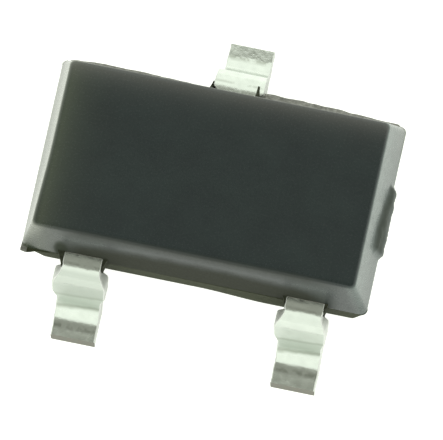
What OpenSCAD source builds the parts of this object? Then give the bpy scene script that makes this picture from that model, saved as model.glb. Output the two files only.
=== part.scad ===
// Surface mount TVS diode in a moulded package with three gull wing leads, in millimetres.
// X runs along the body, Y across it and Z up. Leads 1 and 2 point to -Y and lead 3 to +Y.
// The origin is on the board plane, under the middle of the body, so the feet stand at Z = 0.

/* [Moulded body] */
// Length of the body along its parting line
body_len = 2.92; // [2.80:0.01:3.20]
// Width of the body along its parting line
body_wid = 1.64; // [1.58:0.01:1.72]
// Height of the upper half, from the parting line to the top face
upper_h = 0.48; // [0.46:0.01:0.70]
// Height of the lower half, from the parting line to the underside
lower_h = 0.65; // [0.50:0.01:0.80]
// Draft of the side walls of the upper half, from the vertical
upper_draft = 13; // [5:0.5:14]
// Draft of the side walls of the lower half, from the vertical
lower_draft = 10; // [5:0.5:14]
// Gap between the underside of the body and the board
standoff = 0.05; // [0.02:0.01:0.15]
// Radius of the four upright corners
corner_r = 0.05; // [0.05:0.01:0.12]
// Radius of the edge that runs round the top face and the underside
edge_r = 0.035; // [0.01:0.005:0.045]

/* [Gate vestige] */
// Length of the broken gate mark along the +X end
gate_len = 0.60; // [0.20:0.01:0.80]
// Height of the gate mark above the parting line at its front end
gate_h = 0.23; // [0.10:0.01:0.35]
// Height of the gate mark above the parting line at its back end
gate_low = 0.06; // [0.03:0.01:0.10]
// How far the gate mark stands out past the parting line
gate_out = 0.02; // [0.005:0.005:0.05]
// Offset of the gate mark from the middle of the end
gate_y = -0.07; // [-0.20:0.01:0.20]

/* [Leadframe] */
// Thickness of the leadframe strip
strip_t = 0.15; // [0.10:0.01:0.18]
// Distance between the centre lines of leads 1 and 2
lead_pitch = 1.90; // [1.80:0.01:2.00]
// Sideways offset of lead 3 from the middle of the body
lead_3_x = 0.02; // [-0.05:0.01:0.05]
// Width of the neck where a lead leaves the body
neck_wid = 0.325; // [0.25:0.005:0.36]
// Width of the leg and the foot
foot_wid = 0.385; // [0.37:0.005:0.42]
// Width across the cut dambar stubs
stub_wid = 0.45; // [0.43:0.01:0.52]
// Bend angle of the knee at which the stubs start
stub_from = 28; // [20:1:45]
// Length of straight leg that the stubs run down
stub_run = 0.20; // [0.08:0.01:0.25]
// Straight shoulder between the parting line and the knee
shoulder = 0.02; // [0.01:0.005:0.05]
// Slope of the leg from the horizontal
leg_slope = 77; // [72:1:80]
// Inside radius of the knee, the upper bend
knee_r = 0.05; // [0.03:0.01:0.08]
// Inside radius of the heel, the bend above the foot
heel_r = 0.20; // [0.14:0.01:0.22]
// Distance from the middle of the body to the cut end of lead 1
toe_1 = 1.375; // [1.33:0.005:1.50]
// Distance from the middle of the body to the cut end of lead 2
toe_2 = 1.405; // [1.33:0.005:1.50]
// Distance from the middle of the body to the cut end of lead 3
toe_3 = 1.39; // [1.33:0.005:1.50]

/* [Resin chips beside the leads] */
// Width of a chip against the body
chip_wid = 0.07; // [0.03:0.01:0.10]
// Gap between the tip of a chip and the dambar stub
chip_gap = 0.01; // [0.005:0.005:0.02]

/* [Bond posts and die paddle] */
// Resin wall that the posts and the paddle lie behind, from the parting line inwards
wall_in = 0.24; // [0.20:0.01:0.28]
// Depth of a bond post across the body
post_dep = 0.26; // [0.22:0.01:0.28]
// Length of a bond post along the body
post_len = 0.56; // [0.50:0.01:0.60]
// Length of the die paddle along the body
paddle_len = 0.86; // [0.80:0.01:0.95]
// Gap between the paddle and the bond posts
paddle_gap = 0.18; // [0.12:0.01:0.20]
// Radius of the lock notches in the sides of each neck
lock_r = 0.05; // [0.03:0.005:0.06]

/* [Die and bond wires] */
// Length of the silicon die along the body
die_len = 0.60; // [0.50:0.01:0.66]
// Width of the silicon die across the body
die_wid = 0.40; // [0.30:0.01:0.44]
// Thickness of the silicon die
die_t = 0.15; // [0.10:0.01:0.18]
// Thickness of the solder under the die
attach_t = 0.02; // [0.01:0.005:0.03]
// Distance between the two bond pads on the die
pad_pitch = 0.30; // [0.20:0.01:0.36]
// Distance from the front edge of the die to the bond pads
pad_in = 0.10; // [0.07:0.01:0.15]
// Diameter of the bond wires
wire_d = 0.04; // [0.03:0.005:0.05]
// Diameter of the ball bonded to the die
ball_d = 0.09; // [0.07:0.01:0.10]
// Height of the ball bonded to the die
ball_h = 0.02; // [0.01:0.005:0.03]
// Straight rise of a wire above its ball
wire_rise = 0.02; // [0.01:0.005:0.03]
// Radius of the loop in a wire, at its centre line
loop_r = 0.05; // [0.04:0.005:0.06]
// Diameter of the stitch where a wire ends on a post
stitch_d = 0.10; // [0.07:0.01:0.12]
// Height of the stitch where a wire ends on a post
stitch_h = 0.015; // [0.01:0.005:0.025]

/* [Hidden] */
round_fn = 64;
corner_fn = 24;
edge_steps = 4;
skin = 0.001;
resin = [0.20, 0.23, 0.23];
tinned = [0.78, 0.79, 0.75];
solder = [0.62, 0.63, 0.62];
silicon = [0.35, 0.37, 0.45];
gold = [0.85, 0.68, 0.30];

half_wid = body_wid / 2;
part_z = standoff + lower_h;
frame_z = part_z - strip_t / 2;
frame_top = frame_z + strip_t;

bend_y = half_wid + shoulder;
bend_sum = knee_r + strip_t + heel_r;
leg_len = (frame_z - bend_sum * (1 - cos(leg_slope))) / sin(leg_slope);
heel_y = bend_y + bend_sum * sin(leg_slope) + leg_len * cos(leg_slope);
chip_tip = bend_y + knee_r * sin(stub_from) - chip_gap;

post_y = half_wid - wall_in - post_dep;
paddle_front = paddle_gap - post_y;
paddle_dep = half_wid - wall_in - paddle_front;
die_y = paddle_front + paddle_dep / 2;
die_z = frame_top + attach_t;
ball_z = die_z + die_t;
loop_z = ball_z + ball_h + wire_rise;
pad_y = die_y - die_wid / 2 + pad_in;
stitch_x = lead_pitch / 2 + neck_wid / 2 - post_len + post_dep / 2;
stitch_y = -post_y - post_dep / 2;
stitch_z = frame_top + stitch_h / 2;
lap = 0.004;
run_d = wire_d - 2 * skin;

// Inset of the rounded edge of a half of height h and draft tilt, where the edge slopes by a from upright
function edge_in(h, tilt, a) = (edge_r + (h - edge_r) * sin(tilt)) / cos(tilt) - edge_r * cos(a);

// Section of the body at one height: a thin plate with rounded corners of radius r
module section(inset, r, z) {
  x = body_len / 2 - inset - r;
  y = half_wid - inset - r;
  translate([0, 0, z])
    linear_extrude(skin)
      union() {
        square([2 * x, 2 * (y + r)], center = true);
        square([2 * (x + r), 2 * y], center = true);
        for (i = [-1, 1], j = [-1, 1]) translate([i * x, j * y]) circle(r, $fn = corner_fn);
      }
}

// One mould half: drafted walls and a rounded edge, lofted upwards from the parting line
module mould_half(h, tilt) {
  wall_in_top = edge_in(h, tilt, tilt);
  hull() {
    section(0, corner_r, 0);
    for (i = [0 : edge_steps]) {
      a = tilt + (90 - tilt) * i / edge_steps;
      inset = edge_in(h, tilt, a);
      section(inset, corner_r - inset + wall_in_top, h - edge_r + edge_r * sin(a) - skin);
    }
  }
}

// Slice through the gate mark where it is h high, drawn with X outwards and Y up
module gate_slice(h) {
  root = (gate_h + edge_r) * tan(upper_draft) + 2 * edge_r;
  linear_extrude(skin)
    polygon([
      [-root, 0], [gate_out / 2, 0], [gate_out, h * 0.3], [gate_out * 0.4, h * 0.8], [-gate_out, h], [-root, h * 0.9]
    ]);
}

// Rough stub left on the end wall where the runner of the mould was broken off, highest at its front end
module gate_vestige() {
  translate([body_len / 2, gate_y, part_z])
    rotate([90, 0, 0])
      hull() {
        translate([0, 0, -gate_len / 2]) gate_slice(gate_low);
        translate([0, 0, gate_len / 2 - skin]) gate_slice(gate_h);
      }
}

// Two chips of resin left beside a neck when the dambar was cut away, for a lead along +Y
module chips() {
  side = [
    [neck_wid / 2 + chip_wid, half_wid - 2 * edge_r],
    [neck_wid / 2 + chip_wid * 0.7, half_wid],
    [neck_wid / 2 + chip_wid * 0.2, chip_tip]
  ];
  other = [for (i = [2, 1, 0]) [-side[i].x, side[i].y]];
  translate([0, 0, frame_z]) linear_extrude(strip_t) polygon(concat(side, other));
}

// A length of strip, flat on the frame plane, from one Y to another
module flat(wid, from, to) {
  translate([-wid / 2, from, frame_z]) cube([wid, to - from, strip_t]);
}

// Part of the knee, between two bend angles
module knee(wid, from, to) {
  translate([0, bend_y, frame_z - knee_r])
    rotate([0, 90, 0])
      rotate(180 - to)
        rotate_extrude(angle = to - from, $fn = round_fn)
          translate([knee_r, -wid / 2]) square([strip_t, wid]);
}

// Straight leg below the knee. It laps into the bends at both ends, and is thinner by a skin on each side
module leg(wid, run) {
  translate([0, bend_y, frame_z - knee_r])
    rotate([-leg_slope, 0, 0])
      translate([-wid / 2, -lap, knee_r + skin]) cube([wid, run + 2 * lap, strip_t - 2 * skin]);
}

// Bend at the bottom of the leg, which brings the strip level on the board
module heel() {
  translate([0, heel_y, strip_t + heel_r])
    rotate([0, 90, 0])
      rotate(-leg_slope)
        rotate_extrude(angle = leg_slope, $fn = round_fn)
          translate([heel_r, -foot_wid / 2]) square([strip_t, foot_wid]);
}

// Outer part of a lead, along +Y: shoulder, knee with the dambar stubs, leg, heel and foot
module gull_wing(toe) {
  flat(neck_wid, half_wid - wall_in, bend_y);
  knee(neck_wid, 0, stub_from);
  knee(stub_wid, stub_from, leg_slope);
  leg(stub_wid, stub_run);
  leg(foot_wid, leg_len);
  heel();
  translate([-foot_wid / 2, heel_y, 0]) cube([foot_wid, toe - heel_y, strip_t]);
}

// Half round notches in both sides of a neck, which the resin fills to hold the lead
module lock_notches() {
  for (i = [-1, 1])
    translate([i * neck_wid / 2, half_wid - wall_in / 2, frame_z - strip_t])
      cylinder(h = 3 * strip_t, r = lock_r, $fn = round_fn);
}

// Lead with a bond post, on the side of the body that side gives as -1 or 1
module bond_lead(side, toe) {
  translate([side * lead_pitch / 2, 0, 0])
    rotate(180)
      difference() {
        union() {
          gull_wing(toe);
          translate([(side * (post_len - neck_wid) - post_len) / 2, post_y, frame_z])
            cube([post_len, post_dep, strip_t]);
        }
        lock_notches();
      }
}

module lead_1() {
  color(tinned) bond_lead(-1, toe_1);
}

module lead_2() {
  color(tinned) bond_lead(1, toe_2);
}

// Lead 3 carries the die paddle inside the body
module lead_3() {
  color(tinned) {
    difference() {
      translate([lead_3_x, 0, 0]) gull_wing(toe_3);
      translate([lead_3_x, 0, 0]) lock_notches();
    }
    translate([-paddle_len / 2, paddle_front, frame_z]) cube([paddle_len, paddle_dep, strip_t]);
  }
}

module die_attach() {
  color(solder)
    translate([-die_len / 2, die_y - die_wid / 2, frame_top]) cube([die_len, die_wid, attach_t]);
}

module die() {
  color(silicon)
    translate([-die_len / 2, die_y - die_wid / 2, die_z]) cube([die_len, die_wid, die_t]);
}

// Bond wire from a pad on the die to a post: ball, rise, loop, straight run and stitch
module bond_wire(side) {
  span = [side * (stitch_x - pad_pitch / 2), stitch_y - pad_y];
  away = norm(span) - loop_r;
  drop = loop_z - stitch_z;
  fall = atan2(drop, away) + asin(loop_r / norm([away, drop]));
  run = sqrt(away * away + drop * drop - loop_r * loop_r);
  translate([side * pad_pitch / 2, pad_y, 0])
    rotate(atan2(span[1], span[0])) {
      translate([0, 0, ball_z]) cylinder(h = ball_h, d = ball_d, $fn = round_fn);
      translate([0, 0, ball_z]) cylinder(h = ball_h + wire_rise + lap, d = run_d, $fn = round_fn);
      translate([loop_r, 0, loop_z])
        rotate([90, 0, 0])
          rotate(90 - fall)
            rotate_extrude(angle = 90 + fall, $fn = round_fn)
              translate([loop_r, 0]) circle(d = wire_d, $fn = round_fn);
      difference() {
        translate([loop_r, 0, loop_z])
          rotate([0, fall, 0])
            translate([-lap, 0, loop_r])
              rotate([0, 90, 0]) cylinder(h = run + lap, d = run_d, $fn = round_fn);
        translate([0, -stitch_d, frame_top - stitch_d]) cube([2 * norm(span), 2 * stitch_d, stitch_d]);
      }
      translate([norm(span), 0, frame_top]) cylinder(h = stitch_h, d = stitch_d, $fn = round_fn);
    }
}

module wire_1() {
  color(gold) bond_wire(-1);
}

module wire_2() {
  color(gold) bond_wire(1);
}

// Epoxy moulding: two drafted halves that meet at the parting line, moulded round the pieces inside
module body() {
  color(resin)
    difference() {
      union() {
        translate([0, 0, part_z]) mould_half(upper_h, upper_draft);
        translate([0, 0, part_z]) rotate([180, 0, 0]) mould_half(lower_h, lower_draft);
        gate_vestige();
        for (i = [-1, 1]) translate([i * lead_pitch / 2, 0, 0]) rotate(180) chips();
        translate([lead_3_x, 0, 0]) chips();
      }
      lead_1();
      lead_2();
      lead_3();
      die_attach();
      die();
      wire_1();
      wire_2();
    }
}

body();
lead_1();
lead_2();
lead_3();
die_attach();
die();
wire_1();
wire_2();
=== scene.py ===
from math import copysign, cos, pi, radians, sin, sqrt, tan

import bmesh
import bpy
from mathutils import Matrix, Vector, noise


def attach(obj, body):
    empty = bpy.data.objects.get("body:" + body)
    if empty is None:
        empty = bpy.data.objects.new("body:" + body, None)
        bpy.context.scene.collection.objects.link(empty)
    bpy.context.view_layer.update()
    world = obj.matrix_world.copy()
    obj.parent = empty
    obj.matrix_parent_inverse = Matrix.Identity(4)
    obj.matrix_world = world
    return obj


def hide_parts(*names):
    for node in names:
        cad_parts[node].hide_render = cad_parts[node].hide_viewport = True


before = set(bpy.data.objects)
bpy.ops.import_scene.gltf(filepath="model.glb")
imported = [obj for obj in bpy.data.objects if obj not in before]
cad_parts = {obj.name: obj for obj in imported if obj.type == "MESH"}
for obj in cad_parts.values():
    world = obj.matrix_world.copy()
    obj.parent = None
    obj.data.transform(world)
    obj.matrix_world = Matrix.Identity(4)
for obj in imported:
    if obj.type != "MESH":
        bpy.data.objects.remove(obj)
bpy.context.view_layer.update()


# Leads: three strips of half hard copper alloy, 0.15 mm thick, stamped in one frame with a dambar across
# their necks. After moulding the dambar is punched away, which leaves stubs, and the strip is plated with
# matte tin. Each lead is then cut off at its toe and bent to a knee, a sloping leg, a heel and a flat foot.

MM = 0.001
STRIP_T = 0.15
PARTING = 0.70
LEAD_PITCH = 1.90
NECK_WID, FOOT_WID, STUB_WID = 0.325, 0.385, 0.45
WALL_IN, WALL_OUT, BEND_Y = 0.58, 0.82, 0.84
KNEE_R, HEEL_R, SLOPE = 0.05, 0.20, radians(77)
STUB_FROM, STUB_RUN, LOCK_R = radians(28), 0.20, 0.05
STRIP_EDGE_R, NECK_STEP = 0.014, 0.01
BEND_ROWS, LEG_ROWS, FOOT_ROWS = 28, 40, 10
# A stub tapers off from a little before its end to a little past it.
TAPER_FROM, TAPER_TO = -0.04, 0.08
# How far out from WALL_IN along the strip the tin starts, and the torn edges.
TIN_FROM, TORN_FROM = 0.24, 0.3
# How deep the punch tore the cut edges, and how far they wander.
TEAR, WANDER = 0.004, 0.005
# Places of the materials on a lead, after tin.
BARE, STAMPED = 1, 2


def linear(colour):
    """An sRGB hex colour as linear red, green, blue and alpha."""
    parts = [int(colour[i : i + 2], 16) / 255 for i in (1, 3, 5)]
    return [p / 12.92 if p <= 0.04045 else ((p + 0.055) / 1.055) ** 2.4 for p in parts] + [1]


def node(tree, kind, inputs, **options):
    """Adds a shader node with its options, and with each input set to a value or linked to a socket."""
    made = tree.nodes.new("ShaderNode" + kind)
    for name, value in options.items():
        setattr(made, name, value)
    for name, value in inputs.items():
        if isinstance(value, bpy.types.NodeSocket):
            tree.links.new(value, made.inputs[name])
        else:
            made.inputs[name].default_value = value
    return made


def new_material(name):
    """An empty material and its node tree."""
    made = bpy.data.materials.new(name)
    made.use_nodes = True
    made.node_tree.nodes.clear()
    return made, made.node_tree


def piece(name, bm, materials, stands_for):
    """A bmesh drawn in millimetres becomes an object in metres that stands for a CAD node."""
    bmesh.ops.recalc_face_normals(bm, faces=bm.faces)
    bmesh.ops.scale(bm, vec=(MM, MM, MM), verts=bm.verts)
    mesh = bpy.data.meshes.new(name)
    bm.to_mesh(mesh)
    bm.free()
    for material in materials:
        mesh.materials.append(material)
    made = bpy.data.objects.new(name, mesh)
    bpy.context.collection.objects.link(made)
    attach(made, "root")
    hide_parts(stands_for)
    return made


# Matte tin, electroplated 10 micrometres thick over copper alloy. It is a pale, faintly warm metal with a
# satin grain, and where the forming tools pressed it the grain is flattened. Materials measure in metres.
tin, tree = new_material("matte_tin_plate")
place = node(tree, "TexCoord", {}).outputs["Object"]
# Tin grains are 3 micrometres across; they are drawn at 12 to show at all.
grain = node(tree, "TexNoise", {"Vector": place, "Scale": 1 / 0.000012, "Detail": 3, "Roughness": 0.6})
# Rubs from the forming tools, about 0.08 mm apart.
rubs = node(tree, "TexNoise", {"Vector": place, "Scale": 1 / 0.00008, "Detail": 4, "Roughness": 0.55})
tone = node(
    tree, "Mix", {0: rubs.outputs["Fac"], 6: linear("#BEC4BD"), 7: linear("#D8DED7")}, data_type="RGBA"
)
satin = node(
    tree,
    "MapRange",
    {"Value": rubs.outputs["Fac"], "From Min": 0.3, "From Max": 0.7, "To Min": 0.13, "To Max": 0.25},
)
at = node(tree, "SeparateXYZ", {"Vector": place})
out = node(tree, "Math", {0: at.outputs["Y"]}, operation="ABSOLUTE")
# The bending die rubs the leg matt, from 0.22 to 0.62 mm above the board.
over = node(
    tree,
    "MapRange",
    {"Value": at.outputs["Z"], "From Min": 0.00018, "From Max": 0.00026},
    interpolation_type="SMOOTHSTEP",
)
under = node(
    tree,
    "MapRange",
    {"Value": at.outputs["Z"], "From Min": 0.00066, "From Max": 0.00056},
    interpolation_type="SMOOTHSTEP",
)
rubbed = node(tree, "Math", {0: over.outputs["Result"], 1: under.outputs["Result"]}, operation="MULTIPLY")
satin = node(
    tree, "Math", {0: rubbed.outputs[0], 1: 0.22, 2: satin.outputs["Result"]}, operation="MULTIPLY_ADD"
)
# A band across the leg that slants by a tenth is painted greyer: a painted dark reflection.
side = node(tree, "Math", {0: at.outputs["X"]}, operation="SIGN")
lean = node(tree, "Math", {0: side.outputs[0], 1: -0.00095, 2: at.outputs["X"]}, operation="MULTIPLY_ADD")
level = node(tree, "Math", {0: lean.outputs[0], 1: -0.1, 2: at.outputs["Z"]}, operation="MULTIPLY_ADD")
level = node(
    tree, "Math", {0: rubs.outputs["Fac"], 1: 0.00004, 2: level.outputs[0]}, operation="MULTIPLY_ADD"
)
over = node(
    tree,
    "MapRange",
    {"Value": level.outputs[0], "From Min": 0.00024, "From Max": 0.00030},
    interpolation_type="SMOOTHSTEP",
)
under = node(
    tree,
    "MapRange",
    {"Value": level.outputs[0], "From Min": 0.00049, "From Max": 0.00044},
    interpolation_type="SMOOTHSTEP",
)
reflection_band = node(tree, "Math", {0: over.outputs["Result"], 1: under.outputs["Result"]}, operation="MULTIPLY")
# This painted reflection is on leads 1 and 2 only, on the -Y side.
front = node(tree, "Math", {0: at.outputs["Y"], 1: 0.0}, operation="LESS_THAN")
reflection_band = node(tree, "Math", {0: reflection_band.outputs[0], 1: front.outputs[0]}, operation="MULTIPLY")
tone = node(tree, "Mix", {0: reflection_band.outputs[0], 6: tone.outputs[2], 7: linear("#BFC6BE")}, data_type="RGBA")
# Painted shade on the knee of leads 1 and 2: a darker tin that dims the reflection there.
over = node(
    tree,
    "MapRange",
    {"Value": level.outputs[0], "From Min": 0.00041, "From Max": 0.00048},
    interpolation_type="SMOOTHSTEP",
)
under = node(
    tree,
    "MapRange",
    {"Value": at.outputs["Z"], "From Min": 0.00076, "From Max": 0.00073},
    interpolation_type="SMOOTHSTEP",
)
knee = node(tree, "Math", {0: over.outputs["Result"], 1: under.outputs["Result"]}, operation="MULTIPLY")
knee = node(tree, "Math", {0: knee.outputs[0], 1: front.outputs[0]}, operation="MULTIPLY")
# Lead 2 gets less of this painted shade than lead 1.
knee_shade_share = node(
    tree,
    "MapRange",
    {"Value": at.outputs["X"], "From Min": -0.0001, "From Max": 0.0001, "To Min": 1.0, "To Max": 0.35},
)
knee = node(tree, "Math", {0: knee.outputs[0], 1: knee_shade_share.outputs["Result"]}, operation="MULTIPLY")
tone = node(tree, "Mix", {0: knee.outputs[0], 6: tone.outputs[2], 7: linear("#B7BDB6")}, data_type="RGBA")
# Both borders of the band are painted as fine dark lines, part of the painted reflection.
for border, most in ((0.00028, 0.6), (0.00045, 0.35)):
    band_border_line = node(tree, "Math", {0: level.outputs[0], 1: -border}, operation="ADD")
    band_border_line = node(tree, "Math", {0: band_border_line.outputs[0]}, operation="ABSOLUTE")
    band_border_line = node(
        tree, "MapRange", {"Value": band_border_line.outputs[0], "From Min": 0.00003, "From Max": 0.0, "To Max": most}
    )
    band_border_line = node(tree, "Math", {0: band_border_line.outputs["Result"], 1: front.outputs[0]}, operation="MULTIPLY")
    tone = node(tree, "Mix", {0: band_border_line.outputs[0], 6: tone.outputs[2], 7: linear("#848A7D")}, data_type="RGBA")
# Scuffs where the heel runs out into the foot, and a fine crease where the shoulder runs into the knee.
for place_y, half_wid, most in ((0.00128, 0.00004, 0.55), (0.000895, 0.00002, 0.35)):
    near = node(tree, "Math", {0: out.outputs[0], 1: -place_y}, operation="ADD")
    near = node(tree, "Math", {0: near.outputs[0]}, operation="ABSOLUTE")
    near = node(
        tree, "MapRange", {"Value": near.outputs[0], "From Min": half_wid, "From Max": 0.0, "To Max": most}
    )
    patchy = node(tree, "MapRange", {"Value": rubs.outputs["Fac"], "From Min": 0.42, "From Max": 0.56})
    near = node(tree, "Math", {0: near.outputs["Result"], 1: patchy.outputs["Result"]}, operation="MULTIPLY")
    tone = node(tree, "Mix", {0: near.outputs[0], 6: tone.outputs[2], 7: linear("#6C7062")}, data_type="RGBA")
dents = node(tree, "Bump", {"Height": rubs.outputs["Fac"], "Strength": 0.4, "Distance": 0.000006})
bumps = node(
    tree,
    "Bump",
    {
        "Height": grain.outputs["Fac"],
        "Strength": 0.25,
        "Distance": 0.000001,
        "Normal": dents.outputs["Normal"],
    },
)
shader = node(
    tree,
    "BsdfPrincipled",
    {
        "Base Color": tone.outputs[2],
        "Metallic": 1.0,
        "Roughness": satin.outputs[0],
        "Normal": bumps.outputs["Normal"],
    },
)
node(tree, "OutputMaterial", {"Surface": shader.outputs["BSDF"]})

# Bare copper alloy on the cut toes and inside the resin. The shear drags tin down over it, so it is a dull
# grey with streaks along the cut.
alloy, tree = new_material("sheared_copper_alloy")
place = node(tree, "TexCoord", {}).outputs["Object"]
streaks = node(tree, "Mapping", {"Vector": place, "Scale": (1 / 0.00002, 1 / 0.00002, 1 / 0.0001)})
smear = node(tree, "TexNoise", {"Vector": streaks.outputs["Vector"], "Scale": 1.0, "Detail": 4})
tone = node(
    tree, "Mix", {0: smear.outputs["Fac"], 6: linear("#A09F99"), 7: linear("#BCBBB4")}, data_type="RGBA"
)
# The toes were cut after plating, so there the bare alloy has tarnished.
at = node(tree, "SeparateXYZ", {"Vector": place})
out = node(tree, "Math", {0: at.outputs["Y"]}, operation="ABSOLUTE")
toe_end = node(tree, "Math", {0: out.outputs[0], 1: 0.00136}, operation="GREATER_THAN")
tone = node(tree, "Mix", {0: toe_end.outputs[0], 6: tone.outputs[2], 7: linear("#6C6B60")}, data_type="RGBA")
drag = node(tree, "Bump", {"Height": smear.outputs["Fac"], "Strength": 0.5, "Distance": 0.000004})
shader = node(
    tree,
    "BsdfPrincipled",
    {"Base Color": tone.outputs[2], "Metallic": 1.0, "Roughness": 0.48, "Normal": drag.outputs["Normal"]},
)
node(tree, "OutputMaterial", {"Surface": shader.outputs["BSDF"]})

# Tin over the stamped edge of the strip: the shear left it rough, so the plating there is dull, and its
# powdery oxide scatters light more than it mirrors it.
edge_tin, tree = new_material("tin_on_stamped_edge")
place = node(tree, "TexCoord", {}).outputs["Object"]
# Tear marks of the punch, about 0.03 mm apart.
tears = node(tree, "TexNoise", {"Vector": place, "Scale": 1 / 0.00003, "Detail": 3})
tone = node(
    tree, "Mix", {0: tears.outputs["Fac"], 6: linear("#C4C7C3"), 7: linear("#DADCD8")}, data_type="RGBA"
)
torn = node(tree, "Bump", {"Height": tears.outputs["Fac"], "Strength": 0.4, "Distance": 0.000003})
shader = node(
    tree,
    "BsdfPrincipled",
    {"Base Color": tone.outputs[2], "Metallic": 0.3, "Roughness": 0.6, "Normal": torn.outputs["Normal"]},
)
node(tree, "OutputMaterial", {"Surface": shader.outputs["BSDF"]})


def round_corners(bm, radius, segments):
    """Rounds the corners of a flat outline."""
    bmesh.ops.bevel(
        bm,
        geom=list(bm.verts),
        offset=radius,
        offset_type="OFFSET",
        segments=segments,
        profile=0.5,
        material=-1,
        affect="VERTICES",
    )


def grow(bm, face, keep=False):
    """Extrudes a face and gives back the new one. The old one would be left inside the shape, so it goes."""
    made = bmesh.ops.extrude_face_region(bm, geom=[face])["geom"]
    if not keep:
        bmesh.ops.delete(bm, geom=[face], context="FACES_ONLY")
    return next(g for g in made if isinstance(g, bmesh.types.BMFace))


def press(bm, end, move, travel, steps):
    """Feeds the strip on by steps: each extrudes its end face and moves the copy."""
    along = bm.verts.layers.float["along"]
    for _ in range(steps):
        start = end.verts[0][along]
        end = grow(bm, end)
        bmesh.ops.transform(bm, matrix=move, verts=end.verts)
        for v in end.verts:
            v[along] = start + travel
    return end


def ease(x, low, high):
    """Rises smoothly from 0 at low to 1 at high."""
    t = min(1, max(0, (x - low) / (high - low)))
    return t * t * (3 - 2 * t)


def lead(name, inside_wid, inside_from, inside_x, toe, turn, shift, early, flare, trims, roll, seed):
    """A lead drawn along +Y from its post or paddle to its toe, then turned and moved to its place. The stubs
    start early by that length, grow over the length flare and are cut closer by the trims, and the top of
    the toe is dragged down at the slope roll by the cut."""
    bm = bmesh.new()
    along = bm.verts.layers.float.new("along")
    square = bmesh.ops.create_grid(bm, x_segments=1, y_segments=1, size=0.5)["verts"]
    bmesh.ops.scale(bm, vec=(inside_wid, STRIP_T, 1), verts=square)
    bmesh.ops.rotate(bm, cent=(0, 0, 0), matrix=Matrix.Rotation(-pi / 2, 3, "X"), verts=square)
    bmesh.ops.translate(bm, vec=(inside_x, inside_from, PARTING), verts=square)
    round_corners(bm, STRIP_EDGE_R, 3)
    end = bm.faces[:][0]
    for v in bm.verts:
        v[along] = -1
    end = grow(bm, end, keep=True)
    bmesh.ops.translate(bm, vec=(0, WALL_IN - inside_from, 0), verts=end.verts)
    end = press(bm, end, Matrix.Identity(4), 1, 1)
    bmesh.ops.translate(bm, vec=(-inside_x, 0, 0), verts=end.verts)
    bmesh.ops.scale(bm, vec=(NECK_WID / inside_wid, 1, 1), verts=end.verts)

    ahead = Matrix.Translation((0, NECK_STEP, 0))
    end = press(bm, end, ahead, NECK_STEP, round((BEND_Y - WALL_IN) / NECK_STEP))
    knee = Matrix.Translation((0, BEND_Y, PARTING - STRIP_T / 2 - KNEE_R))
    turn_down = knee @ Matrix.Rotation(-SLOPE / BEND_ROWS, 4, "X") @ knee.inverted()
    mid_knee = (KNEE_R + STRIP_T / 2) * SLOPE
    end = press(bm, end, turn_down, mid_knee / BEND_ROWS, BEND_ROWS)
    leg_len = (PARTING - STRIP_T / 2 - (KNEE_R + STRIP_T + HEEL_R) * (1 - cos(SLOPE))) / sin(SLOPE)
    leg_step = leg_len / LEG_ROWS
    down = Matrix.Translation((0, cos(SLOPE) * leg_len / LEG_ROWS, -sin(SLOPE) * leg_len / LEG_ROWS))
    end = press(bm, end, down, leg_step, LEG_ROWS)
    heel_y = BEND_Y + (KNEE_R + STRIP_T + HEEL_R) * sin(SLOPE) + leg_len * cos(SLOPE)
    heel = Matrix.Translation((0, heel_y, STRIP_T + HEEL_R))
    turn_up = heel @ Matrix.Rotation(SLOPE / BEND_ROWS, 4, "X") @ heel.inverted()
    mid_heel = (HEEL_R + STRIP_T / 2) * SLOPE
    end = press(bm, end, turn_up, mid_heel / BEND_ROWS, BEND_ROWS)
    foot_step = (toe - heel_y) / FOOT_ROWS
    end = press(bm, end, Matrix.Translation((0, foot_step, 0)), foot_step, FOOT_ROWS)

    stub_at = BEND_Y - WALL_IN + (KNEE_R + STRIP_T / 2) * STUB_FROM
    stub_end = BEND_Y - WALL_IN + mid_knee + STUB_RUN
    for v in bm.verts:
        s = v[along]
        if s < 0:
            continue
        side = 1 if v.co.x > 0 else -1
        grown = ease(s, stub_at - early, stub_at - early + flare)
        shrunk = ease(s, stub_end + TAPER_FROM, stub_end + TAPER_TO)
        stub = (STUB_WID - NECK_WID) / 2 - trims[side > 0]
        half = NECK_WID / 2 + stub * grown * (1 - shrunk) + (FOOT_WID - NECK_WID) / 2 * shrunk
        notch = WALL_IN + s - (WALL_IN + WALL_OUT) / 2
        if abs(notch) < LOCK_R:
            half -= sqrt(LOCK_R**2 - notch**2)
        cut = grown * (1 - shrunk)
        rough = noise.noise(Vector((seed, side * 3.7, s * 40))) * TEAR
        wobble = noise.noise(Vector((seed + 9.1, side * 1.3, s * 9))) * WANDER
        v.co.x *= half / (NECK_WID / 2)
        if s > TORN_FROM:
            v.co.x += side * (rough * (0.3 + 0.7 * cut) + wobble - TEAR)
        if v.co.y > heel_y and v.co.z > STRIP_T / 2:
            v.co.z -= roll * (v.co.y - heel_y)
    for f in bm.faces:
        f.smooth = True
        if max(v[along] for v in f.verts) < TIN_FROM:
            f.material_index = BARE
        elif abs(f.normal.x) > 0.3:
            f.material_index = STAMPED
    end.material_index = BARE
    # The bends turn by under 3 degrees a row and stay smooth. The narrow rounds along the edges don't, or
    # they would tilt the shading of the flat faces beside them.
    for e in bm.edges:
        if e.calc_face_angle(0) > radians(15):
            e.smooth = False
    bmesh.ops.rotate(bm, cent=(0, 0, 0), matrix=Matrix.Rotation(turn, 3, "Z"), verts=bm.verts)
    bmesh.ops.translate(bm, vec=(shift, 0, 0), verts=bm.verts)
    return piece(name + "_strip", bm, [tin, alloy, edge_tin], name)


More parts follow.
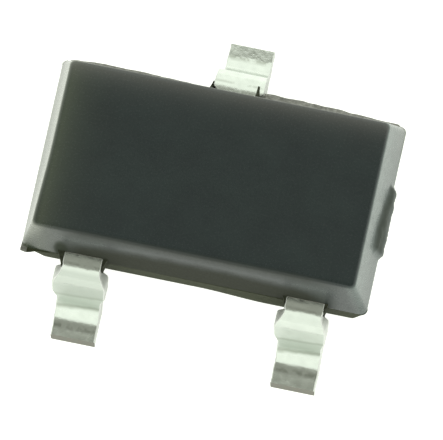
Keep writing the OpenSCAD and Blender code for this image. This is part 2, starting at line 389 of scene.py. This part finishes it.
POST = {"inside_wid": 0.56, "inside_from": 0.32, "turn": pi, "early": 0.02, "roll": 0.0}
PADDLE = {"inside_wid": 0.86, "inside_from": -0.14, "turn": 0, "early": 0.10, "roll": 0.028}
shift_1, shift_2 = -LEAD_PITCH / 2 + 0.022, LEAD_PITCH / 2
lead("lead_1", inside_x=0.1175, toe=1.372, shift=shift_1, flare=0.15, trims=(0.0, -0.008), seed=2.0, **POST)
lead("lead_2", inside_x=-0.1175, toe=1.405, shift=shift_2, flare=0.13, trims=(0.012, 0.0), seed=5.0, **POST)
lead("lead_3", inside_x=-0.02, toe=1.39, shift=0.02, flare=0.05, trims=(0.02, 0.0), seed=8.0, **PADDLE)


# Die and its solder: a sawn silicon chip, its top covered by clear glass with two open aluminium pads,
# soldered on the paddle of lead 3. The two gold wires are ball bonded to the pads and stitched to the posts.

silicon, tree = new_material("passivated_silicon")
place = node(tree, "TexCoord", {}).outputs["Object"]
bands = node(tree, "TexNoise", {"Vector": place, "Scale": 1 / 0.0002, "Detail": 1})
tone = node(
    tree, "Mix", {0: bands.outputs["Fac"], 6: linear("#3A3F52"), 7: linear("#565B75")}, data_type="RGBA"
)
at = node(tree, "SeparateXYZ", {"Vector": place})
# Aluminium pads 0.1 mm square, 0.15 mm either side of the chip's middle and 0.1 mm in from its front edge.
across = node(tree, "Math", {0: at.outputs["X"]}, operation="ABSOLUTE")
near_x = node(tree, "Math", {0: across.outputs[0], 1: 0.00015, 2: 0.00005}, operation="COMPARE")
near_y = node(tree, "Math", {0: at.outputs["Y"], 1: 0.00012, 2: 0.00005}, operation="COMPARE")
top = node(tree, "Math", {0: at.outputs["Z"], 1: 0.000944}, operation="GREATER_THAN")
pad = node(tree, "Math", {0: near_x.outputs[0], 1: near_y.outputs[0]}, operation="MULTIPLY")
pad = node(tree, "Math", {0: pad.outputs[0], 1: top.outputs[0]}, operation="MULTIPLY")
tone = node(tree, "Mix", {0: pad.outputs[0], 6: tone.outputs[2], 7: linear("#D5D6D8")}, data_type="RGBA")
gloss = node(tree, "MapRange", {"Value": pad.outputs[0], "To Min": 0.12, "To Max": 0.35})
shader = node(
    tree,
    "BsdfPrincipled",
    {
        "Base Color": tone.outputs[2],
        "Metallic": pad.outputs[0],
        "Roughness": gloss.outputs["Result"],
        "IOR": 1.46,
    },
)
node(tree, "OutputMaterial", {"Surface": shader.outputs["BSDF"]})
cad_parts["die"].data.materials.clear()
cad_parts["die"].data.materials.append(silicon)

# Soft solder, lead free: grey metal with the frosty grain that it freezes with.
solder, tree = new_material("soft_solder")
place = node(tree, "TexCoord", {}).outputs["Object"]
frost = node(tree, "TexVoronoi", {"Vector": place, "Scale": 1 / 0.00002})
tone = node(
    tree, "Mix", {0: frost.outputs["Distance"], 6: linear("#9A9B9A"), 7: linear("#BEBFBE")}, data_type="RGBA"
)
lumps = node(tree, "Bump", {"Height": frost.outputs["Distance"], "Strength": 0.4, "Distance": 0.000002})
shader = node(
    tree,
    "BsdfPrincipled",
    {"Base Color": tone.outputs[2], "Metallic": 1.0, "Roughness": 0.42, "Normal": lumps.outputs["Normal"]},
)
node(tree, "OutputMaterial", {"Surface": shader.outputs["BSDF"]})
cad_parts["die_attach"].data.materials.clear()
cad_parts["die_attach"].data.materials.append(solder)

# Gold wire, drawn through a diamond die to 40 micrometres: bright, with faint marks of the die.
gold, tree = new_material("drawn_gold_wire")
place = node(tree, "TexCoord", {}).outputs["Object"]
marks = node(tree, "TexNoise", {"Vector": place, "Scale": 1 / 0.00001, "Detail": 2})
tone = node(
    tree, "Mix", {0: marks.outputs["Fac"], 6: linear("#E2B75B"), 7: linear("#F2CF80")}, data_type="RGBA"
)
shader = node(tree, "BsdfPrincipled", {"Base Color": tone.outputs[2], "Metallic": 1.0, "Roughness": 0.18})
node(tree, "OutputMaterial", {"Surface": shader.outputs["BSDF"]})
for wire in ("wire_1", "wire_2"):
    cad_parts[wire].data.materials.clear()
    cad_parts[wire].data.materials.append(gold)


# Body: black epoxy moulding compound, moulded round the leadframe in two mould halves that meet at the
# parting line. Both halves have drafted walls and a rounded edge, and a thin rough fin of flash is left where
# they met. The runner was broken off the +X end, and the dambar cut left resin chips beside the necks.

BODY_LEN, BODY_WID = 2.92, 1.64
UPPER_H, LOWER_H = 0.48, 0.65
UPPER_DRAFT, LOWER_DRAFT = radians(13), radians(10)
CORNER_R, EDGE_R = 0.05, 0.035
CORNER_ROWS, EDGE_ROWS, UPPER_ROWS, LOWER_ROWS = 6, 6, 22, 14
OUTLINE_STEP, RING = 0.02, 0.02
# Points of the outline past the first two lie on a corner, and past the others well inside its arc.
STRAIGHT_X, STRAIGHT_Y = 1.40, 0.76
ARC_X, ARC_Y = 1.42, 0.78
# Places of the materials on the body, after the moulded finish.
FLASH, BROKEN, LOWER_SHADE = 1, 2, 3

# Black epoxy moulding compound in the finish of a spark eroded mould: carbon black and silica in resin, a
# satin near black that mirrors its surroundings at a low angle. Low on the long sides a painted shade makes
# it duller and brownish, for the shadowed floor that those walls mirror.
epoxy, tree = new_material("moulded_black_epoxy")
place = node(tree, "TexCoord", {}).outputs["Object"]
at = node(tree, "SeparateXYZ", {"Vector": place})
# Pits of the spark erosion, about 20 micrometres across and under 1 deep.
pits = node(tree, "TexNoise", {"Vector": place, "Scale": 1 / 0.00002, "Detail": 3, "Roughness": 0.6})
# Broad cloudiness of the filler, about 0.4 mm across.
cloud = node(tree, "TexNoise", {"Vector": place, "Scale": 1 / 0.0004, "Detail": 4, "Roughness": 0.6})
spread = node(tree, "MapRange", {"Value": cloud.outputs["Fac"], "From Min": 0.35, "From Max": 0.65})
tone = node(
    tree, "Mix", {0: spread.outputs["Result"], 6: linear("#172021"), 7: linear("#1C2626")}, data_type="RGBA"
)
# Painted sheen, a lighter tone that dies away from two edges of the top face: metres to its edge, the
# length over which it fades, how strong it is there and its colour.
for axis, way, edge, reach, most, colour in (
    ("X", -1, 0.001345, 0.00014, 0.33, "#6A7058"),
    ("Y", 1, 0.000700, 0.00008, 0.52, "#6E6C68"),
):
    edge_sheen = node(
        tree, "Math", {0: at.outputs[axis], 1: way / reach, 2: -edge / reach}, operation="MULTIPLY_ADD"
    )
    edge_sheen = node(tree, "Math", {0: edge_sheen.outputs[0]}, operation="EXPONENT")
    edge_sheen = node(tree, "Math", {0: edge_sheen.outputs[0], 1: most}, operation="MULTIPLY")
    near = node(
        tree,
        "MapRange",
        {
            "Value": at.outputs[axis],
            "From Min": way * edge,
            "From Max": way * (edge - 0.00004),
            "To Min": 0.55,
            "To Max": 1.0,
        },
    )
    edge_sheen = node(tree, "Math", {0: edge_sheen.outputs[0], 1: near.outputs["Result"]}, operation="MULTIPLY")
    edge_sheen = node(tree, "Math", {0: edge_sheen.outputs[0], 1: 0.75}, operation="MINIMUM")
    tone = node(tree, "Mix", {0: edge_sheen.outputs[0], 6: tone.outputs[2], 7: linear(colour)}, data_type="RGBA")
# The two end walls carry a painted reflection all over, strongest under their top edges, and it spreads a
# little round the corners. A point is on an end wall where it lies further out along X than along Y by the
# body's 0.64 mm.
away = node(tree, "Math", {0: at.outputs["X"]}, operation="ABSOLUTE")
deep = node(tree, "Math", {0: at.outputs["Y"]}, operation="ABSOLUTE")
ended = node(tree, "Math", {0: away.outputs[0], 1: deep.outputs[0]}, operation="SUBTRACT")
ended = node(
    tree,
    "MapRange",
    {"Value": ended.outputs[0], "From Min": 0.00050, "From Max": 0.00065},
    interpolation_type="SMOOTHSTEP",
)
walled = node(tree, "MapRange", {"Value": at.outputs["Z"], "From Min": 0.001176, "From Max": 0.001160})
ended = node(tree, "Math", {0: ended.outputs["Result"], 1: walled.outputs["Result"]}, operation="MULTIPLY")
blotch = node(tree, "TexNoise", {"Vector": place, "Scale": 1 / 0.00006, "Detail": 3})
blotch = node(
    tree,
    "MapRange",
    {"Value": blotch.outputs["Fac"], "From Min": 0.35, "From Max": 0.65, "To Min": 0.8, "To Max": 1.1},
)
for way, least, most, colour in ((-1, 0.0, 0.85, "#82857C"), (1, 0.45, 0.85, "#626C69")):
    wall_reflection = node(tree, "Math", {0: at.outputs["X"], 1: way}, operation="MULTIPLY")
    wall_reflection = node(tree, "Math", {0: wall_reflection.outputs[0], 1: 0.0}, operation="GREATER_THAN")
    high = node(
        tree,
        "MapRange",
        {"Value": at.outputs["Z"], "From Min": 0.00080, "From Max": 0.00106, "To Min": least, "To Max": most},
    )
    wall_reflection = node(tree, "Math", {0: wall_reflection.outputs[0], 1: high.outputs["Result"]}, operation="MULTIPLY")
    wall_reflection = node(tree, "Math", {0: wall_reflection.outputs[0], 1: ended.outputs[0]}, operation="MULTIPLY")
    wall_reflection = node(tree, "Math", {0: wall_reflection.outputs[0], 1: blotch.outputs["Result"]}, operation="MULTIPLY")
    tone = node(tree, "Mix", {0: wall_reflection.outputs[0], 6: tone.outputs[2], 7: linear(colour)}, data_type="RGBA")
# The painted shade band lies below 1 mm in the middle of a long side, dips towards the corners and fades out
# there.
bow = node(tree, "Math", {0: at.outputs["X"], 1: 2.0}, operation="POWER")
bow = node(tree, "Math", {0: bow.outputs[0], 1: 70.0, 2: at.outputs["Z"]}, operation="MULTIPLY_ADD")
ragged = node(tree, "TexNoise", {"Vector": place, "Scale": 1 / 0.00015, "Detail": 3})
bow = node(tree, "Math", {0: ragged.outputs["Fac"], 1: 0.00006, 2: bow.outputs[0]}, operation="MULTIPLY_ADD")
shade_band = node(
    tree,
    "MapRange",
    {"Value": bow.outputs[0], "From Min": 0.00113, "From Max": 0.00093, "To Min": 0.0, "To Max": 1.0},
    interpolation_type="SMOOTHSTEP",
)
# Some of the same painted shade and loss of gloss lies just under the top edge.
top_edge_shade = node(
    tree, "MapRange", {"Value": at.outputs["Z"], "From Min": 0.00102, "From Max": 0.00115, "To Max": 0.5}
)
shade_band = node(tree, "Math", {0: shade_band.outputs["Result"], 1: top_edge_shade.outputs["Result"]}, operation="MAXIMUM")
side = node(tree, "Math", {0: at.outputs["Y"]}, operation="ABSOLUTE")
side = node(tree, "MapRange", {"Value": side.outputs[0], "From Min": 0.00069, "From Max": 0.00073})
shade_band = node(tree, "Math", {0: shade_band.outputs[0], 1: side.outputs["Result"]}, operation="MULTIPLY")
corner = node(tree, "Math", {0: at.outputs["X"]}, operation="ABSOLUTE")
corner = node(
    tree,
    "MapRange",
    {"Value": corner.outputs[0], "From Min": 0.00096, "From Max": 0.00123, "To Min": 1.0, "To Max": 0.05},
)
shade_band = node(tree, "Math", {0: shade_band.outputs[0], 1: corner.outputs["Result"]}, operation="MULTIPLY")
tone = node(tree, "Mix", {0: shade_band.outputs[0], 6: tone.outputs[2], 7: linear("#1C1F12")}, data_type="RGBA")
satin = node(
    tree,
    "MapRange",
    {"Value": pits.outputs["Fac"], "From Min": 0.3, "From Max": 0.7, "To Min": 0.2, "To Max": 0.3},
)
satin = node(tree, "Math", {0: shade_band.outputs[0], 1: 0.6, 2: satin.outputs["Result"]}, operation="MULTIPLY_ADD")
# Where the runner broke off the +X end the grainy inside shows, dark and without gloss. Its upper border
# climbs from 0.1 mm above the parting line at the back end to 0.25 mm above it at the front end.
climb = node(
    tree,
    "MapRange",
    {
        "Value": at.outputs["Y"],
        "From Min": 0.00028,
        "From Max": -0.00012,
        "To Min": 0.00081,
        "To Max": 0.00094,
    },
)
below = node(tree, "Math", {0: climb.outputs["Result"], 1: at.outputs["Z"]}, operation="SUBTRACT")
below = node(
    tree, "Math", {0: ragged.outputs["Fac"], 1: 0.00005, 2: below.outputs[0]}, operation="MULTIPLY_ADD"
)
below = node(
    tree,
    "MapRange",
    {"Value": below.outputs[0], "From Min": -0.00001, "From Max": 0.00007},
    interpolation_type="SMOOTHSTEP",
)
start = node(
    tree,
    "MapRange",
    {"Value": at.outputs["Y"], "From Min": -0.00033, "From Max": -0.00027},
    interpolation_type="SMOOTHSTEP",
)
stop = node(
    tree,
    "MapRange",
    {"Value": at.outputs["Y"], "From Min": 0.00031, "From Max": 0.00026},
    interpolation_type="SMOOTHSTEP",
)
end_wall = node(tree, "Math", {0: at.outputs["X"], 1: 0.00132}, operation="GREATER_THAN")
scar = node(tree, "Math", {0: below.outputs["Result"], 1: start.outputs["Result"]}, operation="MULTIPLY")
scar = node(tree, "Math", {0: scar.outputs[0], 1: stop.outputs["Result"]}, operation="MULTIPLY")
scar = node(tree, "Math", {0: scar.outputs[0], 1: end_wall.outputs[0]}, operation="MULTIPLY")
# Its rim along the parting line broke thin, and is paler.
rim = node(
    tree,
    "MapRange",
    {"Value": at.outputs["Z"], "From Min": 0.00070, "From Max": 0.00080, "To Min": 0.25, "To Max": 1.0},
)
scar = node(tree, "Math", {0: scar.outputs[0], 1: rim.outputs["Result"]}, operation="MULTIPLY")
tone = node(tree, "Mix", {0: scar.outputs[0], 6: tone.outputs[2], 7: linear("#323832")}, data_type="RGBA")
satin = node(tree, "Math", {0: scar.outputs[0], 1: 0.6, 2: satin.outputs[0]}, operation="MULTIPLY_ADD")
# Painted shade on the wall above the left side of lead 1, for the resin chip's dark reflection and shadow
# there: a dull mark 0.1 mm wide and 0.25 mm high.
chip_shade = node(
    tree,
    "VectorMath",
    {0: place, 1: (1 / 0.00006, 1 / 0.0001, 1 / 0.00015), 2: (1.125 / 0.06, 0.80 / 0.1, -0.81 / 0.15)},
    operation="MULTIPLY_ADD",
)
chip_shade = node(tree, "VectorMath", {0: chip_shade.outputs["Vector"]}, operation="LENGTH")
chip_shade = node(
    tree,
    "MapRange",
    {"Value": chip_shade.outputs["Value"], "From Min": 1.25, "From Max": 0.5, "To Max": 0.8},
    interpolation_type="SMOOTHSTEP",
)
tone = node(
    tree, "Mix", {0: chip_shade.outputs["Result"], 6: tone.outputs[2], 7: linear("#22281A")}, data_type="RGBA"
)
satin = node(tree, "Math", {0: chip_shade.outputs["Result"], 1: 0.6, 2: satin.outputs[0]}, operation="MULTIPLY_ADD")
waves = node(tree, "Bump", {"Height": cloud.outputs["Fac"], "Strength": 0.2, "Distance": 0.00001})
grit = node(
    tree,
    "Bump",
    {
        "Height": pits.outputs["Fac"],
        "Strength": 0.08,
        "Distance": 0.000001,
        "Normal": waves.outputs["Normal"],
    },
)
shader = node(
    tree,
    "BsdfPrincipled",
    {
        "Base Color": tone.outputs[2],
        "Roughness": satin.outputs[0],
        "IOR": 1.47,
        "Normal": grit.outputs["Normal"],
    },
)
node(tree, "OutputMaterial", {"Surface": shader.outputs["BSDF"]})

# The lower half has a matt, brownish black copy of the epoxy that paints its shade: its walls face down and
# mirror the shadowed floor under the body.
lower_half_shade, tree = new_material("black_epoxy_painted_shade")
place = node(tree, "TexCoord", {}).outputs["Object"]
pores = node(tree, "TexNoise", {"Vector": place, "Scale": 1 / 0.00003, "Detail": 4, "Roughness": 0.65})
spread = node(tree, "MapRange", {"Value": pores.outputs["Fac"], "From Min": 0.35, "From Max": 0.65})
tone = node(
    tree, "Mix", {0: spread.outputs["Result"], 6: linear("#2C2F20"), 7: linear("#3C4030")}, data_type="RGBA"
)
pocks = node(tree, "Bump", {"Height": pores.outputs["Fac"], "Strength": 0.5, "Distance": 0.000004})
shader = node(
    tree,
    "BsdfPrincipled",
    {
        "Base Color": tone.outputs[2],
        "Roughness": 0.9,
        "IOR": 1.52,
        "Specular IOR Level": 0.1,
        "Normal": pocks.outputs["Normal"],
    },
)
node(tree, "OutputMaterial", {"Surface": shader.outputs["BSDF"]})

# Resin bled into the parting line and broken off: thin, paler than the body and rough, and thicker and darker
# at the front corners.
flash, tree = new_material("epoxy_flash")
place = node(tree, "TexCoord", {}).outputs["Object"]
breaks = node(tree, "TexNoise", {"Vector": place, "Scale": 1 / 0.00004, "Detail": 4, "Roughness": 0.7})
spread = node(tree, "MapRange", {"Value": breaks.outputs["Fac"], "From Min": 0.35, "From Max": 0.65})
tone = node(
    tree, "Mix", {0: spread.outputs["Result"], 6: linear("#72726C"), 7: linear("#A5A59F")}, data_type="RGBA"
)
# It is thinnest on the two ends and lets the light through there, but not at the front corners.
at = node(tree, "SeparateXYZ", {"Vector": place})
ends = node(tree, "Math", {0: at.outputs["X"]}, operation="ABSOLUTE")
ends = node(
    tree,
    "MapRange",
    {"Value": ends.outputs[0], "From Min": 0.00140, "From Max": 0.00145, "To Min": 0.0, "To Max": 0.8},
)
cornered = node(tree, "MapRange", {"Value": at.outputs["Y"], "From Min": -0.00078, "From Max": -0.00073})
ends = node(tree, "Math", {0: ends.outputs["Result"], 1: cornered.outputs["Result"]}, operation="MULTIPLY")
tone = node(tree, "Mix", {0: ends.outputs[0], 6: tone.outputs[2], 7: linear("#B2B5AD")}, data_type="RGBA")
fronted = node(
    tree, "MapRange", {"Value": at.outputs["Y"], "From Min": -0.00073, "From Max": -0.00078, "To Max": 0.7}
)
tone = node(
    tree, "Mix", {0: fronted.outputs["Result"], 6: tone.outputs[2], 7: linear("#4A4C42")}, data_type="RGBA"
)
jags = node(tree, "Bump", {"Height": breaks.outputs["Fac"], "Strength": 0.8, "Distance": 0.00001})
shader = node(
    tree,
    "BsdfPrincipled",
    {"Base Color": tone.outputs[2], "Roughness": 0.5, "IOR": 1.52, "Normal": jags.outputs["Normal"]},
)
node(tree, "OutputMaterial", {"Surface": shader.outputs["BSDF"]})

# Where the runner or a chip broke off, the compound shows its grainy inside: rough, dark and without gloss.
broken, tree = new_material("broken_epoxy")
place = node(tree, "TexCoord", {}).outputs["Object"]
grains = node(tree, "TexNoise", {"Vector": place, "Scale": 1 / 0.000025, "Detail": 5, "Roughness": 0.7})
spread = node(tree, "MapRange", {"Value": grains.outputs["Fac"], "From Min": 0.35, "From Max": 0.65})
tone = node(
    tree, "Mix", {0: spread.outputs["Result"], 6: linear("#23261C"), 7: linear("#3A3D2F")}, data_type="RGBA"
)
crumbs = node(tree, "Bump", {"Height": grains.outputs["Fac"], "Strength": 0.9, "Distance": 0.00001})
shader = node(
    tree,
    "BsdfPrincipled",
    {
        "Base Color": tone.outputs[2],
        "Roughness": 0.9,
        "IOR": 1.52,
        "Specular IOR Level": 0.2,
        "Normal": crumbs.outputs["Normal"],
    },
)
node(tree, "OutputMaterial", {"Surface": shader.outputs["BSDF"]})


def lift(bm, face, height, inset, keep=False):
    """Extrudes a face of the body up or down, and draws its outline in by the inset on all sides."""
    face = grow(bm, face, keep)
    reach = [max(abs(v.co[k]) for v in face.verts) for k in (0, 1)]
    bmesh.ops.scale(
        bm, vec=((reach[0] - inset) / reach[0], (reach[1] - inset) / reach[1], 1), verts=face.verts
    )
    bmesh.ops.translate(bm, vec=(0, 0, height), verts=face.verts)
    return face


def fin_width(x, y, out):
    """How far the fin of flash stands out at a place on the parting line that faces along out."""
    left, right = x < -STRAIGHT_X, x > STRAIGHT_X
    if left and y < -STRAIGHT_Y:
        # The front left corner is nearly square.
        return 0.014 * abs(out.y) + 0.8 * CORNER_R * (1 / max(abs(out.x), abs(out.y)) - 1)
    if right and y < -STRAIGHT_Y:
        return 0.004
    if abs(x) > ARC_X and y > ARC_Y:
        return 0.006
    if left:
        return -0.005 + 0.012 * noise.noise(Vector((0.0, y * 7, 9.0)))
    if right:
        return 0.006 * y
    # The back is the side that the resin bled from most.
    if y > 0 and x > 0:
        return 0.056 - 0.044 * max(0, x - 0.55)
    if y > 0:
        return 0.010 + 0.024 * min(1, -x) - 0.06 * max(0, -x - 1.1)
    return 0.0015 + 0.004 * x + 0.018 * ease(-x, 1.05, 1.35) - 0.012 * ease(x, 1.05, 1.25)


bm = bmesh.new()
bmesh.ops.create_grid(bm, x_segments=1, y_segments=1, size=0.5)
bmesh.ops.scale(bm, vec=(BODY_LEN, BODY_WID, 1), verts=bm.verts)
bmesh.ops.translate(bm, vec=(0, 0, PARTING), verts=bm.verts)
round_corners(bm, CORNER_R, CORNER_ROWS)
for e in list(bm.edges):
    cuts = round(e.calc_length() / OUTLINE_STEP) - 1
    if cuts > 3:
        bmesh.ops.subdivide_edges(bm, edges=[e], cuts=cuts)
middle = bm.faces[:][0]
for height, tilt, way, rows in (
    (UPPER_H, UPPER_DRAFT, 1, UPPER_ROWS),
    (LOWER_H, LOWER_DRAFT, -1, LOWER_ROWS),
):
    face = middle
    wall = height - EDGE_R + EDGE_R * sin(tilt)
    for i in range(rows):
        face = lift(bm, face, way * wall / rows, wall / rows * tan(tilt), keep=i == 0 and way == 1)
    for i in range(EDGE_ROWS):
        a, b = (tilt + (pi / 2 - tilt) * k / EDGE_ROWS for k in (i, i + 1))
        face = lift(bm, face, way * EDGE_R * (sin(b) - sin(a)), EDGE_R * (cos(a) - cos(b)))
    face = lift(bm, face, 0, RING)

# The mould halves are lapped by hand, so the front and left walls lean out a little more at the top, and the
# lower half is fuller at the front between the middle and lead 2.
LEAN_FRONT, LEAN_LEFT, FULLER = 0.02, 0.022, 0.022
for v in bm.verts:
    rise = (v.co.z - PARTING) / UPPER_H
    if rise > 0 and v.co.y < -0.6:
        v.co.y -= LEAN_FRONT * rise
    if rise > 0 and v.co.x < -1.3:
        v.co.x -= LEAN_LEFT * rise * ease(-v.co.y, 0.0, 0.8)
    if rise < 0 and v.co.y < -0.5:
        along_x = ease(v.co.x, 0.0, 0.6) * (1 - ease(v.co.x, 0.95, 1.1))
        v.co.y -= FULLER * along_x * ease(PARTING - v.co.z, 0.1, 0.5)

# The fin of flash is pulled out of a narrow strip along the parting line, and tapers to its edge.
SEAM, FIN_TAPER = 0.004, 0.4
seam = [e for e in bm.edges if all(abs(v.co.z - PARTING) < 0.001 for v in e.verts)]
strip = bmesh.ops.bevel(
    bm,
    geom=seam,
    offset=SEAM,
    offset_type="OFFSET",
    segments=1,
    profile=0.5,
    material=-1,
    affect="EDGES",
)["faces"]
fin = bmesh.ops.extrude_face_region(bm, geom=strip)["geom"]
bmesh.ops.delete(bm, geom=strip, context="FACES")
outer = set(g for g in fin if isinstance(g, bmesh.types.BMVert))
for f in bm.faces:
    if any(v in outer for v in f.verts):
        f.material_index = FLASH
for v in outer:
    x, y = v.co.x, v.co.y
    beyond_x = max(0, abs(x) - BODY_LEN / 2 + CORNER_R)
    beyond_y = max(0, abs(y) - BODY_WID / 2 + CORNER_R)
    out = Vector((copysign(beyond_x, x), copysign(beyond_y, y), 0)).normalized()
    at = Vector((x * 14, y * 14, 3.0))
    ragged = 1 + 0.2 * noise.noise(at * 0.5) + 0.15 * noise.noise(at)
    v.co += out * (fin_width(x, y, out) * ragged)
    # More resin bled out to -Y at the front left corner.
    if y < -STRAIGHT_Y:
        v.co.y -= 0.028 * ease(-x, 1.30, 1.42)
    v.co.z = PARTING + (v.co.z - PARTING) * FIN_TAPER
# The lower half, and the fin along the front, get the lower half's painted shade.
for f in bm.faces:
    x, y, z = f.calc_center_median()
    if z < PARTING - SEAM and f.material_index != FLASH:
        f.material_index = LOWER_SHADE
    elif y < -0.7 and x > -STRAIGHT_X and f.material_index == FLASH:
        f.material_index = LOWER_SHADE


# The gate vestige stands rough on the +X wall above the parting line.
GATE_OUT, GATE_TOP = 0.034, 0.94
GATE_FRONT, GATE_BACK, GATE_FADE = -0.34, 0.31, 0.06


def gate(y, z):
    """How far the broken runner stands out, as a share, over a place on the end wall. Its top climbs towards
    the front."""
    high = GATE_TOP - 0.325 * max(0, y + 0.12)
    fades = ease(y, GATE_FRONT, GATE_FRONT + GATE_FADE) * ease(-y, -GATE_BACK, GATE_FADE - GATE_BACK)
    return fades * ease(-z, -high, GATE_FADE - high)


for v in bm.verts:
    x, y, z = v.co
    if x > 1.3 and z > PARTING - 0.02:
        broad = noise.noise(Vector((y * 11, z * 11, 1.7))) * 0.008
        fine = noise.noise(Vector((y * 37, z * 37, 4.2))) * 0.006
        v.co.x += gate(y, z) * (GATE_OUT + (broad + fine))

# Resin chips stay beside the necks where the dambar was cut away. A row gives the neck's X, the side of the
# body and of the neck, the chip's width at the wall, the height of its root and its reach along the neck.
CHIP_Y, CHIP_ROOT, CHIP_LAP = 0.76, 0.06, 0.002
DROOP_R, DROOP_FROM = 0.20, 0.08
moulded = bm.verts.layers.int.new("moulded")
for neck, way, side, wide, high, reach in (
    (shift_1, -1, -1, 0.080, 0.80, 0.10),
    (shift_1, -1, 1, 0.055, 0.79, 0.08),
    (shift_2, -1, -1, 0.055, 0.79, 0.05),
    (shift_2, -1, 1, 0.040, 0.79, 0.06),
    (-0.0225, 1, -1, 0.045, 0.80, 0.06),
    (0.02, 1, 1, 0.030, 0.90, 0.16),
):
    for v in bm.verts:
        v[moulded] = 1
    cube = bmesh.ops.create_cube(bm, size=1)["verts"]
    sides = list({e for v in cube for e in v.link_edges})
    bmesh.ops.subdivide_edges(bm, edges=sides, cuts=5, use_grid_fill=True)
    chip = [v for v in bm.verts if v[moulded] == 0]
    for v in chip:
        u, t, h = v.co.x + 0.5, v.co.y + 0.5, v.co.z + 0.5
        run = t * (CHIP_ROOT + reach)
        droop = DROOP_R - sqrt(max(0, DROOP_R**2 - max(0, run - DROOP_FROM) ** 2))
        top = STRIP_T + (high - PARTING - STRIP_T / 2) * (1 - t) ** 3
        span = wide * (1 - t) ** 1.4 + 0.008
        rough = 0.006 * noise.noise(Vector((u * 5 + neck, t * 6, h * 5 + side)))
        v.co.x = neck + side * (NECK_WID / 2 - CHIP_LAP + u * (span + CHIP_LAP) + rough * u)
        v.co.y = way * (CHIP_Y + run + rough)
        v.co.z = PARTING - STRIP_T / 2 + h * (top - 0.004) - droop
    for f in {f for v in chip for f in v.link_faces}:
        f.material_index = BROKEN
SHARP = radians(50)
for f in bm.faces:
    f.smooth = True
for e in bm.edges:
    if e.calc_face_angle(0) > SHARP:
        e.smooth = False
piece("body_moulding", bm, [epoxy, flash, broken, lower_half_shade], "body")


# Floor: the opal acrylic top of a light table. It is lit by the panels and glows a little itself, so no hard
# shadow shows on it.

opal, tree = new_material("opal_acrylic")
place = node(tree, "TexCoord", {}).outputs["Object"]
milk = node(tree, "TexNoise", {"Vector": place, "Scale": 1 / 0.004, "Detail": 2})
tone = node(
    tree, "Mix", {0: milk.outputs["Fac"], 6: linear("#C4C6C2"), 7: linear("#C9CBC7")}, data_type="RGBA"
)
shader = node(
    tree,
    "BsdfPrincipled",
    {
        "Base Color": tone.outputs[2],
        "Roughness": 0.8,
        "Emission Color": linear("#FBFDF8"),
        "Emission Strength": 0.88,
    },
)
node(tree, "OutputMaterial", {"Surface": shader.outputs["BSDF"]})
bm = bmesh.new()
bmesh.ops.create_grid(bm, x_segments=1, y_segments=1, size=0.5)
mesh = bpy.data.meshes.new("light_table")
bm.to_mesh(mesh)
bm.free()
mesh.materials.append(opal)
floor = bpy.data.objects.new("light_table", mesh)
bpy.context.collection.objects.link(floor)

# Studio: four soft panels stand round the part like the walls of a light tent, and the open top round the
# camera is dimmer, which is why flat tin looks grey from above while every bent part of it is bright. The
# panel at the back is taller.
PANEL_WID = 0.4
for i, tall in enumerate((0.55, 0.32, 0.32, 0.32)):
    lamp = bpy.data.lights.new("panel", "AREA")
    lamp.shape = "RECTANGLE"
    lamp.size, lamp.size_y = PANEL_WID, tall
    lamp.color = linear("#F8FDF6")[:3]
    lamp.energy = 1.05 * pi * lamp.size * lamp.size_y
    panel = bpy.data.objects.new("panel", lamp)
    stand = Matrix.Rotation(i * pi / 2, 4, "Z") @ Matrix.Translation((0, PANEL_WID / 2, tall / 2))
    panel.matrix_world = stand @ Matrix.Rotation(-pi / 2, 4, "X")
    bpy.context.collection.objects.link(panel)
world = bpy.data.worlds.new("ceiling")
world.use_nodes = True
world.node_tree.nodes["Background"].inputs["Color"].default_value = linear("#FAFCEE")
world.node_tree.nodes["Background"].inputs["Strength"].default_value = 0.44
bpy.context.scene.world = world
bpy.context.scene.view_settings.view_transform = "Standard"

# Camera: a long lens 87 mm away, 17 degrees right of the front and 75 degrees up, turned as in the
# photograph.
AZIMUTH, ELEVATION, ROLL = radians(17.37), radians(75.2), radians(-5.43)
DISTANCE, PX_PER_MM = 86.6, 120.57
SENSOR_WID, PHOTO_WID_PX = 36, 443
RIGHT_PX, DOWN_PX = 7.35, 32.6
lens = bpy.data.cameras.new("camera")
lens.sensor_width = SENSOR_WID
lens.lens = PX_PER_MM * DISTANCE * SENSOR_WID / PHOTO_WID_PX
lens.clip_start = 0.005
lens.clip_end = 3
back = Vector((sin(AZIMUTH) * cos(ELEVATION), -cos(AZIMUTH) * cos(ELEVATION), sin(ELEVATION)))
across = Vector((cos(AZIMUTH), sin(AZIMUTH), 0))
up = back.cross(across)
right = cos(ROLL) * across + sin(ROLL) * up
up = back.cross(right)
eye = Vector((0, 0, PARTING)) + back * DISTANCE + right * RIGHT_PX / PX_PER_MM - up * DOWN_PX / PX_PER_MM
camera = bpy.data.objects.new("camera", lens)
camera.matrix_world = Matrix.Translation(eye * MM) @ Matrix((right, up, back)).transposed().to_4x4()
bpy.context.collection.objects.link(camera)
bpy.context.scene.camera = camera
